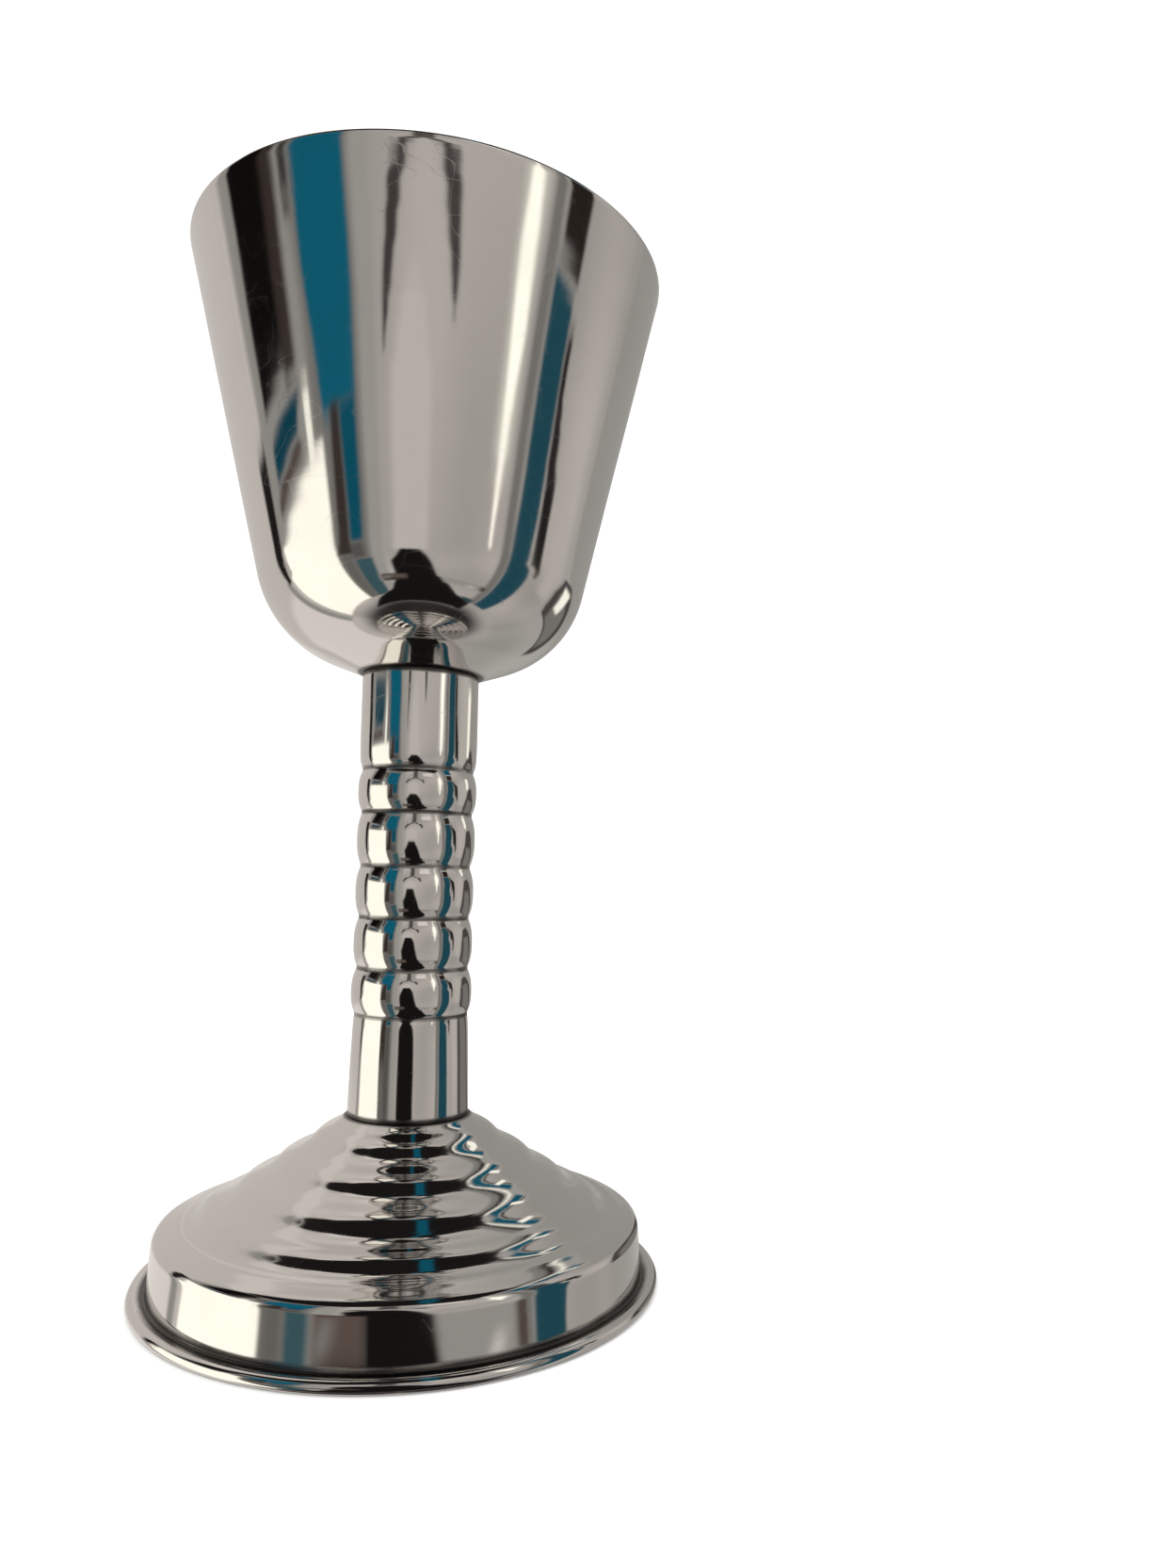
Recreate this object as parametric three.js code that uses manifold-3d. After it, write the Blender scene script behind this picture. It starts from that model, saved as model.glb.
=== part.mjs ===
// Communion chalice in stainless steel: a spun cup, a beaded tube stem and a spun foot,
// drawn together by one tie rod and a nut hidden under the foot.
// Millimetres, +Z up, origin at the middle of the foot on the table.
import * as THREE from "three";
import { mergeVertices } from "three/addons/utils/BufferGeometryUtils.js";
import Module from "manifold-3d";

// Driving dimensions.
const HEIGHT = 190;
const SHEET = 0.8; // wall of every spun or rolled piece
const GAP = 0.3; // left between pieces that touch

// Cup.
const RIM_R = 44;
const CUP_SEAT_Z = 113.6; // underside of the cup, where the stem ends
const CUP_SEAT_R = 11.2;
const CUP_FLARE = THREE.MathUtils.degToRad(12.7); // lean of the straight wall
const CUP_FLOOR_RISE = THREE.MathUtils.degToRad(20); // rise of the floor from the seat outwards
const CUP_CORNER_R = 20; // fillet between floor and wall

// Stem: a tube with grooves rolled in, which leave five beads between them.
const STEM_TOP_Z = CUP_SEAT_Z - GAP;
const STEM_TOP_R = 11;
const STEM_FOOT_R = 11.3;
const STEM_WAIST_R = 10.75;
const BEAD_SWELL = 0.85; // how far a bead stands out from its grooves
const BEAD_STEPS = 4;
const GROOVE_FLANK = 2; // length of the slope from an end groove to the plain tube
const GROOVES = [
  { z: 49.4, r: 10.55 },
  { z: 58, r: 10.3 },
  { z: 67.5, r: 10.2 },
  { z: 77.1, r: 10.2 },
  { z: 87.1, r: 10.25 },
  { z: 95.3, r: 10.3 },
];

// Foot.
const FOOT_TOP_Z = 30.6; // flat seat that the stem stands on
const FOOT_TOP_R = 11.5;
const SKIRT_R = 44.6;
const SKIRT_TOP_R = 44;
const SHOULDER_Z = 11.6; // where the skirt's line and the cone's line cross
const SHOULDER_R = 2.2;
const CONE_BEND = new THREE.Vector2(35.5, 14.7); // the cone is flatter outside this point
const RIPPLE_DEPTH = 0.28;
const RIPPLE_PITCH = 6.55;
const RIPPLE_FIRST_R = 16.9; // radius at the middle of the innermost riser
const OUTER_RIPPLE_R = 31; // the ripples grow deeper outside this radius
const OUTER_RIPPLE_SPAN = 3;
const OUTER_RIPPLE_GROWTH = 0.45;
const RISER_SHARE = 0.38; // part of a ripple's pitch that its steep side takes
const ROLL_OUTER_R = 47.8; // rolled edge that the foot stands on
const ROLL_THICKNESS = 2.2;
const STAND_WIDTH = 1; // flat ring under the rolled edge
const CREASE_Z = 1.76; // bottom of the crease between the roll and the skirt
const CREASE_WIDTH = 0.3;
const SKIRT_LOW_Z = 2.42;

// Tie rod and what it clamps.
const ROD_R = 3;
const ROD_HOLE_R = ROD_R + GAP;
const ROD_LOW_Z = 17.5;
const ROD_CHAMFER = 0.6;
const BLIND_DEPTH = 2; // steel left over the closed end of the rod's hole
const SPIGOT_HEIGHT = 9;
const SPIGOT_R = 9.7;
const SPIGOT_CHAMFER = 1;
const BUSH_HEIGHT = 8;
const BUSH_R = 9.6;
const CLAMP_PLATE_R = 10.5;
const CLAMP_PLATE_THICKNESS = 1.8;
const SPRING_WASHER_R = 5.9;
const SPRING_WASHER_THICKNESS = 1.6;
const SPRING_WASHER_SLIT = 0.16; // half angle of the slit, radians
const NUT_ACROSS_FLATS = 10;
const NUT_HEIGHT = 5;
const NUT_CHAMFER = 0.6;

const BIG_SEGMENTS = 48;
const STEM_SEGMENTS = 36;
const SMALL_SEGMENTS = 24;
const CONE_STEPS = 32;
const CLEAR = 1; // how far a cutting tool runs past what it cuts

const wasm = await Module();
wasm.setup();

// Points of an arc, both ends included, in a profile's (radius, height) plane.
function arc(centre, radius, from, to, steps) {
  return Array.from({ length: steps + 1 }, (_, i) => {
    const angle = from + ((to - from) * i) / steps;
    const spoke = new THREE.Vector2(Math.cos(angle), Math.sin(angle));
    return spoke.multiplyScalar(radius).add(centre);
  });
}

// The arc that rounds a corner between two straight lines.
function fillet(before, corner, after, radius, steps) {
  const back = before.clone().sub(corner).normalize();
  const on = after.clone().sub(corner).normalize();
  const half = Math.acos(back.dot(on)) / 2;
  const bisector = back.clone().add(on).normalize();
  const centre = bisector.multiplyScalar(radius / Math.sin(half)).add(corner);
  const setback = radius / Math.tan(half);
  const first = back.multiplyScalar(setback).add(corner).sub(centre).angle();
  const last = on.multiplyScalar(setback).add(corner).sub(centre).angle();
  const turn = THREE.MathUtils.euclideanModulo(last - first + Math.PI, 2 * Math.PI) - Math.PI;
  return arc(centre, radius, first, first + turn, steps);
}

// A profile moved sideways by a sheet's thickness, to the left of its direction.
function offset(points, thickness) {
  return points.map((point, i) => {
    const previous = points[Math.max(i - 1, 0)];
    const next = points[Math.min(i + 1, points.length - 1)];
    const along = next.clone().sub(previous).normalize();
    return point.clone().add(new THREE.Vector2(-along.y, along.x).multiplyScalar(thickness));
  });
}

// A body of revolution about Z from an outline that runs up its outside.
function turned(outline, segments) {
  const points = outline.map(([r, z]) => new THREE.Vector2(r, z));
  return new THREE.LatheGeometry(points, segments).rotateX(Math.PI / 2);
}

function turnedPoints(points, segments) {
  return turned(
    points.map((point) => [point.x, point.y]),
    segments,
  );
}

function ring(innerR, outerR, lowZ, highZ, segments) {
  const outline = [
    [innerR, lowZ],
    [outerR, lowZ],
    [outerR, highZ],
    [innerR, highZ],
    [innerR, lowZ],
  ];
  return turned(outline, segments);
}

function solid(geometry) {
  const bare = geometry.clone();
  bare.deleteAttribute("normal");
  bare.deleteAttribute("uv");
  const merged = mergeVertices(bare, 1e-4);
  const vertProperties = merged.attributes.position.array;
  const triVerts = new Uint32Array(merged.index.array);
  return new wasm.Manifold(new wasm.Mesh({ numProp: 3, vertProperties, triVerts }));
}

function geometryOf(manifold) {
  const mesh = manifold.getMesh();
  const geometry = new THREE.BufferGeometry();
  geometry.setAttribute("position", new THREE.BufferAttribute(mesh.vertProperties, 3));
  geometry.setIndex(new THREE.BufferAttribute(mesh.triVerts, 1));
  geometry.computeVertexNormals();
  return geometry;
}

// Cup: flat seat, rising floor, large corner and straight wall, all one sheet thick.
function cupGeometry() {
  const seatEdge = new THREE.Vector2(CUP_SEAT_R, CUP_SEAT_Z);
  const rim = new THREE.Vector2(RIM_R, HEIGHT);
  const wallSlope = Math.tan(CUP_FLARE);
  const floorSlope = Math.tan(CUP_FLOOR_RISE);
  const wallAtSeat = RIM_R - (HEIGHT - CUP_SEAT_Z) * wallSlope;
  const cornerR = (wallAtSeat - CUP_SEAT_R * floorSlope * wallSlope) / (1 - floorSlope * wallSlope);
  const corner = new THREE.Vector2(cornerR, CUP_SEAT_Z + (cornerR - CUP_SEAT_R) * floorSlope);
  const outer = [seatEdge, ...fillet(seatEdge, corner, rim, CUP_CORNER_R, 8), rim];
  const inner = offset(outer, SHEET);
  inner[inner.length - 1].y = HEIGHT;
  inner.reverse();
  const floor = CUP_SEAT_Z + SHEET;
  inner[inner.length - 1].y = floor;
  const start = new THREE.Vector2(0, CUP_SEAT_Z);
  const end = new THREE.Vector2(0, floor);
  return turnedPoints([start, ...outer, ...inner, end], BIG_SEGMENTS);
}

// One bead: a shallow bow between two neighbouring grooves, without its last point.
function bead(low, high) {
  return Array.from({ length: BEAD_STEPS }, (_, i) => {
    const t = i / BEAD_STEPS;
    const groove = THREE.MathUtils.lerp(low.r, high.r, t);
    const bow = BEAD_SWELL * Math.sqrt(Math.sin(Math.PI * t));
    return new THREE.Vector2(groove + bow, THREE.MathUtils.lerp(low.z, high.z, t));
  });
}

function stemGeometry() {
  const lowest = GROOVES[0];
  const highest = GROOVES[GROOVES.length - 1];
  const outer = [
    new THREE.Vector2(STEM_FOOT_R, FOOT_TOP_Z + GAP),
    new THREE.Vector2(STEM_WAIST_R, lowest.z - GROOVE_FLANK),
    ...GROOVES.slice(0, -1).flatMap((groove, i) => bead(groove, GROOVES[i + 1])),
    new THREE.Vector2(highest.r, highest.z),
    new THREE.Vector2(STEM_TOP_R, highest.z + GROOVE_FLANK),
    new THREE.Vector2(STEM_TOP_R, STEM_TOP_Z),
  ];
  const inner = outer.map((point) => new THREE.Vector2(point.x - SHEET, point.y)).reverse();
  return turnedPoints([...outer, ...inner, outer[0]], STEM_SEGMENTS);
}

// Depth of the ripples at a radius, from -1 to 1. It grows quickly over a riser and falls slowly after it.
function ripple(r) {
  const phase = THREE.MathUtils.euclideanModulo((r - RIPPLE_FIRST_R) / RIPPLE_PITCH + RISER_SHARE / 2, 1);
  if (phase < RISER_SHARE) return -Math.cos((Math.PI * phase) / RISER_SHARE);
  return Math.cos((Math.PI * (phase - RISER_SHARE)) / (1 - RISER_SHARE));
}

// Height of the foot's cone at a radius, with the shallow ripples left by spinning.
function coneHeight(r, rippled) {
  const top = new THREE.Vector2(FOOT_TOP_R, FOOT_TOP_Z);
  const edge = new THREE.Vector2(SKIRT_TOP_R, SHOULDER_Z);
  const [inside, outside] = r < CONE_BEND.x ? [top, CONE_BEND] : [CONE_BEND, edge];
  const height = THREE.MathUtils.mapLinear(r, inside.x, outside.x, inside.y, outside.y);
  if (!rippled) return height;
  const outer = THREE.MathUtils.clamp((r - OUTER_RIPPLE_R) / OUTER_RIPPLE_SPAN, 0, 1);
  return height - RIPPLE_DEPTH * (1 + OUTER_RIPPLE_GROWTH * outer) * ripple(r);
}

function conePoints(steps, fromR, rippled) {
  return Array.from({ length: steps }, (_, i) => {
    const r = THREE.MathUtils.lerp(fromR, FOOT_TOP_R, i / steps);
    return new THREE.Vector2(r, coneHeight(r, rippled));
  });
}

// Foot: rolled edge, upright skirt, rounded shoulder and rippled cone up to a flat seat.
function footGeometry() {
  const rollR = ROLL_THICKNESS / 2;
  const rollCentre = new THREE.Vector2(ROLL_OUTER_R - rollR, rollR);
  const standInner = new THREE.Vector2(rollCentre.x - STAND_WIDTH, 0);
  const skirtLow = new THREE.Vector2(SKIRT_R, SKIRT_LOW_Z);
  const shoulder = new THREE.Vector2(SKIRT_TOP_R, SHOULDER_Z);
  const seatEdge = new THREE.Vector2(FOOT_TOP_R, FOOT_TOP_Z);
  const round = fillet(skirtLow, shoulder, CONE_BEND, SHOULDER_R, 3);
  const coneStart = round[round.length - 1].x - RIPPLE_PITCH / 6;
  const outside = [
    standInner,
    ...arc(rollCentre, rollR, -Math.PI / 2, (5 * Math.PI) / 6, 8),
    new THREE.Vector2(SKIRT_R + CREASE_WIDTH, CREASE_Z),
    skirtLow,
    ...round,
    ...conePoints(CONE_STEPS, coneStart, true),
    seatEdge,
  ];
  const innerLine = [
    new THREE.Vector2(SKIRT_R, SHEET / 2),
    skirtLow,
    ...round,
    ...conePoints(CONE_STEPS / 8, CONE_BEND.x, false),
    seatEdge,
  ];
  const inside = offset(innerLine, SHEET).reverse();
  inside[0].set(FOOT_TOP_R, FOOT_TOP_Z - SHEET);
  const seat = [
    new THREE.Vector2(ROD_HOLE_R, FOOT_TOP_Z),
    new THREE.Vector2(ROD_HOLE_R, FOOT_TOP_Z - SHEET),
  ];
  return turnedPoints([...outside, ...seat, ...inside, standInner], BIG_SEGMENTS);
}

// Spigot: turned disc welded under the cup, which centres the stem and takes the rod's thread.
function spigotGeometry() {
  const low = STEM_TOP_Z - SPIGOT_HEIGHT;
  const blindTop = STEM_TOP_Z - BLIND_DEPTH;
  const outline = [
    [0, blindTop],
    [ROD_HOLE_R, blindTop],
    [ROD_HOLE_R, low],
    [SPIGOT_R - SPIGOT_CHAMFER, low],
    [SPIGOT_R, low + SPIGOT_CHAMFER],
    [SPIGOT_R, STEM_TOP_Z],
    [0, STEM_TOP_Z],
  ];
  return turned(outline, SMALL_SEGMENTS);
}

function bushGeometry() {
  const low = FOOT_TOP_Z + GAP;
  return ring(ROD_HOLE_R, BUSH_R, low, low + BUSH_HEIGHT, SMALL_SEGMENTS);
}

function rodGeometry() {
  const top = STEM_TOP_Z - BLIND_DEPTH - GAP;
  const outline = [
    [0, ROD_LOW_Z],
    [ROD_R - ROD_CHAMFER, ROD_LOW_Z],
    [ROD_R, ROD_LOW_Z + ROD_CHAMFER],
    [ROD_R, top - ROD_CHAMFER],
    [ROD_R - ROD_CHAMFER, top],
    [0, top],
  ];
  return turned(outline, SMALL_SEGMENTS);
}

const clampTop = FOOT_TOP_Z - SHEET - GAP;
const washerTop = clampTop - CLAMP_PLATE_THICKNESS - GAP;
const nutTop = washerTop - SPRING_WASHER_THICKNESS - GAP;

function clampPlateGeometry() {
  return ring(ROD_HOLE_R, CLAMP_PLATE_R, clampTop - CLAMP_PLATE_THICKNESS, clampTop, SMALL_SEGMENTS);
}

// Spring washer: a flat ring with one slit through it.
function springWasherGeometry() {
  const shape = new THREE.Shape();
  const start = SPRING_WASHER_SLIT;
  const end = 2 * Math.PI - SPRING_WASHER_SLIT;
  shape.absarc(0, 0, SPRING_WASHER_R, start, end, false);
  shape.absarc(0, 0, ROD_HOLE_R, end, start, true);
  const settings = { depth: SPRING_WASHER_THICKNESS, bevelEnabled: false, curveSegments: 20 };
  const geometry = new THREE.ExtrudeGeometry(shape, settings);
  return geometry.translate(0, 0, washerTop - SPRING_WASHER_THICKNESS);
}

// Hexagon nut with its corners chamfered at both ends.
function nutGeometry() {
  const flat = NUT_ACROSS_FLATS / 2;
  const cornerR = flat / Math.cos(Math.PI / 6);
  const corners = Array.from({ length: 6 }, (_, i) => {
    return new THREE.Vector2(cornerR, 0).rotateAround(new THREE.Vector2(), (i * Math.PI) / 3);
  });
  const shape = new THREE.Shape(corners);
  const prism = new THREE.ExtrudeGeometry(shape, { depth: NUT_HEIGHT, bevelEnabled: false });
  const trim = turned(
    [
      [0, 0],
      [flat, 0],
      [cornerR, NUT_CHAMFER],
      [cornerR, NUT_HEIGHT - NUT_CHAMFER],
      [flat, NUT_HEIGHT],
      [0, NUT_HEIGHT],
    ],
    SMALL_SEGMENTS,
  );
  const hole = turned(
    [
      [0, -CLEAR],
      [ROD_HOLE_R, -CLEAR],
      [ROD_HOLE_R, NUT_HEIGHT + CLEAR],
      [0, NUT_HEIGHT + CLEAR],
    ],
    SMALL_SEGMENTS,
  );
  const body = solid(prism).intersect(solid(trim)).subtract(solid(hole));
  return geometryOf(body).translate(0, 0, nutTop - NUT_HEIGHT);
}

function steel(color, roughness) {
  return new THREE.MeshStandardMaterial({ color, roughness, metalness: 1 });
}

const polished = steel(0xb8b2ac, 0.08);
const turnedSteel = steel(0x9b9792, 0.35);
const zincPlated = steel(0xa9a9a4, 0.4);

function piece(name, geometry, material) {
  const mesh = new THREE.Mesh(geometry, material);
  mesh.name = name;
  return mesh;
}

const chalice = new THREE.Group();
chalice.add(
  piece("cup", cupGeometry(), polished),
  piece("stem_tube", stemGeometry(), polished),
  piece("base_shell", footGeometry(), polished),
  piece("cup_spigot", spigotGeometry(), turnedSteel),
  piece("stem_bush", bushGeometry(), turnedSteel),
  piece("tie_rod", rodGeometry(), zincPlated),
  piece("clamp_plate", clampPlateGeometry(), turnedSteel),
  piece("spring_washer", springWasherGeometry(), zincPlated),
  piece("hex_nut", nutGeometry(), zincPlated),
);

export default chalice;
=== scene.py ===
"""Communion chalice in polished stainless steel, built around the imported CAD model.

Metres, +Z up, in the CAD model's own frame. Outlines are (radius, height) points that run with the metal
on their left: up the outside of a piece, and back down its inside.
"""

import math

import bpy
import numpy
from mathutils import Matrix, Vector, noise


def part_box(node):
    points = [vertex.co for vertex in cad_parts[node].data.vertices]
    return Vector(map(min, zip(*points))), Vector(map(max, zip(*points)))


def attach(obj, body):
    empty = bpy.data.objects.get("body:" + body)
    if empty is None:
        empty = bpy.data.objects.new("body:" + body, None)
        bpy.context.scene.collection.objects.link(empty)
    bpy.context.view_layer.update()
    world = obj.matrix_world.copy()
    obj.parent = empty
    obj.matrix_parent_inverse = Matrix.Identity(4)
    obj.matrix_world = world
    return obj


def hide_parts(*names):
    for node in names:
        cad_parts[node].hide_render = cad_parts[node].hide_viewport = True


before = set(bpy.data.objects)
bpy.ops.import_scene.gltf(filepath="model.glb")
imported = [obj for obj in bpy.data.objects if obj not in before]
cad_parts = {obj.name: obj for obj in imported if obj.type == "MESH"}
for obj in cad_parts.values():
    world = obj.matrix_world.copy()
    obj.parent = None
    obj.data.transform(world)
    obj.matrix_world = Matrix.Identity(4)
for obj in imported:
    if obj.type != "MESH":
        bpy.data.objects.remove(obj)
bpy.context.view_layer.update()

MM = 0.001
TURN = 2 * math.pi
SHARP_ANGLE = math.radians(40)

# Camera: near the middle of the stem and close, so that the rim and the foot open towards it.
CAMERA_DISTANCE = 206.7 * MM
CAMERA_HEIGHT = 75.2 * MM
CAMERA_YAW = math.radians(10.85)
CAMERA_PITCH = math.radians(1.99)
CAMERA_ROLL = math.radians(1.38)
CAMERA_LENS = 24.35
CAMERA_SHIFT = (-0.0204, 0.0387)

# Sizes that the CAD model also has.
SHEET = 0.8 * MM
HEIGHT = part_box("cup")[1].z
RIM_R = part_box("cup")[1].x
CUP_SEAT_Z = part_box("cup")[0].z
CUP_SEAT_R = 11.2 * MM
CUP_FLARE = math.radians(12.7)
CUP_FLOOR_RISE = math.radians(20)
CUP_CORNER_R = 20 * MM
CUP_SEAT_FILLET_R = 1.2 * MM

STEM_LOW_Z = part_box("stem_tube")[0].z
STEM_TOP_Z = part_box("stem_tube")[1].z
STEM_FOOT_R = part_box("stem_tube")[1].x
STEM_TOP_R = 11 * MM
STEM_WAIST_R = 10.75 * MM
STEM_RINGS = 190
BEAD_SWELL = 0.85 * MM
BEAD_FULLNESS = 2.6
GROOVE_FADE = 1 * MM
# Rolled grooves, from the foot up: (height, radius at the bottom of the groove).
GROOVES = [
    (49.4 * MM, 10.55 * MM),
    (58 * MM, 10.3 * MM),
    (67.5 * MM, 10.2 * MM),
    (77.1 * MM, 10.2 * MM),
    (87.1 * MM, 10.25 * MM),
    (95.3 * MM, 10.3 * MM),
]

FOOT_TOP_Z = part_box("base_shell")[1].z
FOOT_TOP_R = 11.5 * MM
ROLL_OUTER_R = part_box("base_shell")[1].x
ROLL_R = 1.1 * MM
ROLL_START = math.radians(-150)
ROLL_END = math.radians(112)
SKIRT_R = 44.6 * MM
SKIRT_TOP_R = 44 * MM
SHOULDER_Z = 11.6 * MM
SHOULDER_R = 2.2 * MM
CONE_BEND = (35.5 * MM, 14.7 * MM)
CONE_BEND_R = 30 * MM
FOOT_FILLET_R = 0.5 * MM
FLANGE_DROP = 0.35 * MM

# Ripples that spinning left on the cone. RISER is the share of the pitch that the steep side takes, and from
# OUTER_R outwards the ripples grow deeper.
RIPPLE_DEPTH = 0.28 * MM
RISER = 0.38
RIPPLE_PITCH = 6.55 * MM
RIPPLE_FIRST_R = 16.9 * MM
RIPPLES_FROM_R = 12 * MM
RIPPLES_TO_R = 41 * MM
RIPPLE_FADE = 2 * MM
OUTER_R = 31 * MM
OUTER_SPAN = 3 * MM
OUTER_GROWTH = 0.45

ROD_HOLE_R = 3.3 * MM
THREAD_PITCH = 1 * MM
THREAD_DEPTH = 0.55 * MM
LOW_THREAD_LENGTH = 16 * MM
TOP_THREAD_LENGTH = 10 * MM
ROD_STEP = 0.125 * MM
ROD_END_TAPER = 0.6 * MM
NUT_CHAMFER = 0.6 * MM
NUT_THREADED_R = ROD_HOLE_R - 0.1 * MM
NUT_THREAD_DEPTH = THREAD_DEPTH - 0.2 * MM
DISC_BEVEL = 0.3 * MM


# ---------------------------------------------------------------- outlines


def arc(centre, radius, start, end, steps):
    """Points along an arc, both ends included."""
    angles = [start + (end - start) * i / steps for i in range(steps + 1)]
    return [(centre[0] + radius * math.cos(a), centre[1] + radius * math.sin(a)) for a in angles]


def rounded(corners, steps=8):
    """A line through (radius, height, fillet) corners, with each fillet as an arc."""
    line = [tuple(corners[0][:2])]
    for before, corner, after in zip(corners, corners[1:], corners[2:]):
        here = Vector(corner[:2])
        back = (Vector(before[:2]) - here).normalized()
        ahead = (Vector(after[:2]) - here).normalized()
        fillet = corner[2]
        if fillet <= 0:
            line.append(tuple(here))
            continue
        half = back.angle(ahead) / 2
        centre = here + (back + ahead).normalized() * (fillet / math.sin(half))
        first = here + back * (fillet / math.tan(half)) - centre
        last = here + ahead * (fillet / math.tan(half)) - centre
        start = math.atan2(first.y, first.x)
        sweep = (math.atan2(last.y, last.x) - start + math.pi) % TURN - math.pi
        line += arc(centre, fillet, start, start + sweep, steps)
    line.append(tuple(corners[-1][:2]))
    return line


def divided(line, step):
    """The same line with extra points, so that no two neighbours are further apart than step."""
    points = [line[0]]
    for a, b in zip(line, line[1:]):
        count = max(1, math.ceil(math.dist(a, b) / step))
        points += [(a[0] + (b[0] - a[0]) * i / count, a[1] + (b[1] - a[1]) * i / count)
                   for i in range(1, count + 1)]
    return points


def edge_cap(outer, inner, squareness):
    """The points that carry an outline round a sheet's cut edge, from its outer to its inner face."""
    steps = 6
    outer, inner = Vector(outer), Vector(inner)
    middle = (outer + inner) / 2
    half = outer - middle
    ahead = Vector((-half.y, half.x))
    points = []
    for i in range(1, steps):
        angle = math.pi * i / steps
        across = math.copysign(abs(math.cos(angle)) ** (2 / squareness), math.cos(angle))
        along = math.sin(angle) ** (2 / squareness)
        points.append(tuple(middle + half * across + ahead * along))
    return points


def sheet(line, start_cap=None, end_cap=None):
    """The closed outline of a sheet whose outer face is the line. A cap's value is its squareness."""
    inner = []
    for i, point in enumerate(line):
        a = line[max(i - 1, 0)]
        b = line[min(i + 1, len(line) - 1)]
        along = Vector((b[0] - a[0], b[1] - a[1])).normalized()
        inner.append((point[0] - along.y * SHEET, point[1] + along.x * SHEET))
    outline = list(line)
    if end_cap:
        outline += edge_cap(line[-1], inner[-1], end_cap)
    outline += inner[::-1]
    if start_cap:
        outline += edge_cap(inner[0], line[0], start_cap)
    return outline


# ---------------------------------------------------------------- meshes


def unit(value):
    """The value, held between 0 and 1."""
    return min(1, max(0, value))


def add_object(name, data):
    """A new object, put in the scene."""
    made = bpy.data.objects.new(name, data)
    bpy.context.scene.collection.objects.link(made)
    return made


def mesh_object(name, verts, faces):
    """A smooth-shaded mesh with sharp edges where it turns by more than SHARP_ANGLE."""
    mesh = bpy.data.meshes.new(name)
    mesh.from_pydata(verts, [], faces)
    mesh.shade_smooth()
    mesh.set_sharp_from_angle(angle=SHARP_ANGLE)
    return add_object(name, mesh)


def spin(name, outline, segments, radius_at=None, closed=True, creases=()):
    """Turns an outline about Z. radius_at(radius, height, angle) may move a point in or out.

    A point on the axis becomes one vertex. Creases are (radius, height, width) rings that the material
    darkens near black with grime and painted shade, most at the ring's middle.
    """
    verts, rings = [], []
    for r, z in outline:
        if r < 1e-9:
            rings.append([len(verts)])
            verts.append((0, 0, z))
            continue
        rings.append(range(len(verts), len(verts) + segments))
        for j in range(segments):
            angle = TURN * j / segments
            radius = radius_at(r, z, angle) if radius_at else r
            verts.append((radius * math.cos(angle), radius * math.sin(angle), z))
    pairs = list(zip(rings, rings[1:]))
    if closed:
        pairs.append((rings[-1], rings[0]))
    faces = []
    for low, high in pairs:
        for j in range(segments):
            k = (j + 1) % segments
            corners = [low[j % len(low)], low[k % len(low)], high[k % len(high)], high[j % len(high)]]
            face = list(dict.fromkeys(corners))
            if len(face) > 2:
                faces.append(face)
    piece = mesh_object(name, verts, faces)
    grime_and_shade = []
    for x, y, z in verts:
        r = math.hypot(x, y)
        near = [max(0, 1 - math.hypot(r - ring[0], z - ring[1]) / ring[2]) for ring in creases]
        grime_and_shade.append(max(near, default=0))
    piece.data.attributes.new("grime_and_shade", "FLOAT", "POINT").data.foreach_set("value", grime_and_shade)
    return piece


def waviness(amount, span, seed, rings=0.0, ring_span=1.0):
    """The gentle unevenness of hand-polished sheet, and faint spinning rings, as a radius_at for spin."""
    def radius_at(r, z, angle):
        place = Vector((math.cos(angle) * r, math.sin(angle) * r, z)) / span
        drift = Vector((seed + math.cos(angle), math.sin(angle), z / ring_span))
        return r + amount * noise.noise(place + Vector((seed, 0, 0))) + rings * noise.noise(drift)
    return radius_at


def thread_wave(z, angle):
    """0 at a thread's crest and 1 at its root."""
    phase = (z / THREAD_PITCH - angle / TURN) % 1
    return 1 - abs(2 * phase - 1)


# ---------------------------------------------------------------- pieces


def cup():
    """Bowl: flat seat on the stem, rising floor, large rounded corner and a straight wall up to the rim."""
    wall_slope = math.tan(CUP_FLARE)
    floor_slope = math.tan(CUP_FLOOR_RISE)
    wall_at_seat = RIM_R - (HEIGHT - CUP_SEAT_Z) * wall_slope
    corner_r = (wall_at_seat - CUP_SEAT_R * floor_slope * wall_slope) / (1 - floor_slope * wall_slope)
    corner_z = CUP_SEAT_Z + (corner_r - CUP_SEAT_R) * floor_slope
    line = rounded([
        (0, CUP_SEAT_Z, 0),
        (CUP_SEAT_R, CUP_SEAT_Z, CUP_SEAT_FILLET_R),
        (corner_r, corner_z, CUP_CORNER_R),
        (RIM_R, HEIGHT - SHEET / 2, 0),
    ], steps=24)
    outline = sheet(divided(line, 0.8 * MM), end_cap=2.5)
    uneven = waviness(0.06 * MM, 20 * MM, 3, rings=0.012 * MM, ring_span=3.2 * MM)
    # The seam under the cup is a crease ring of grime and painted shade.
    seam = (STEM_TOP_R + 0.3 * MM, CUP_SEAT_Z, 1.2 * MM)
    return spin("cup_bowl", outline, 256, uneven, closed=False, creases=[seam])


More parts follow.
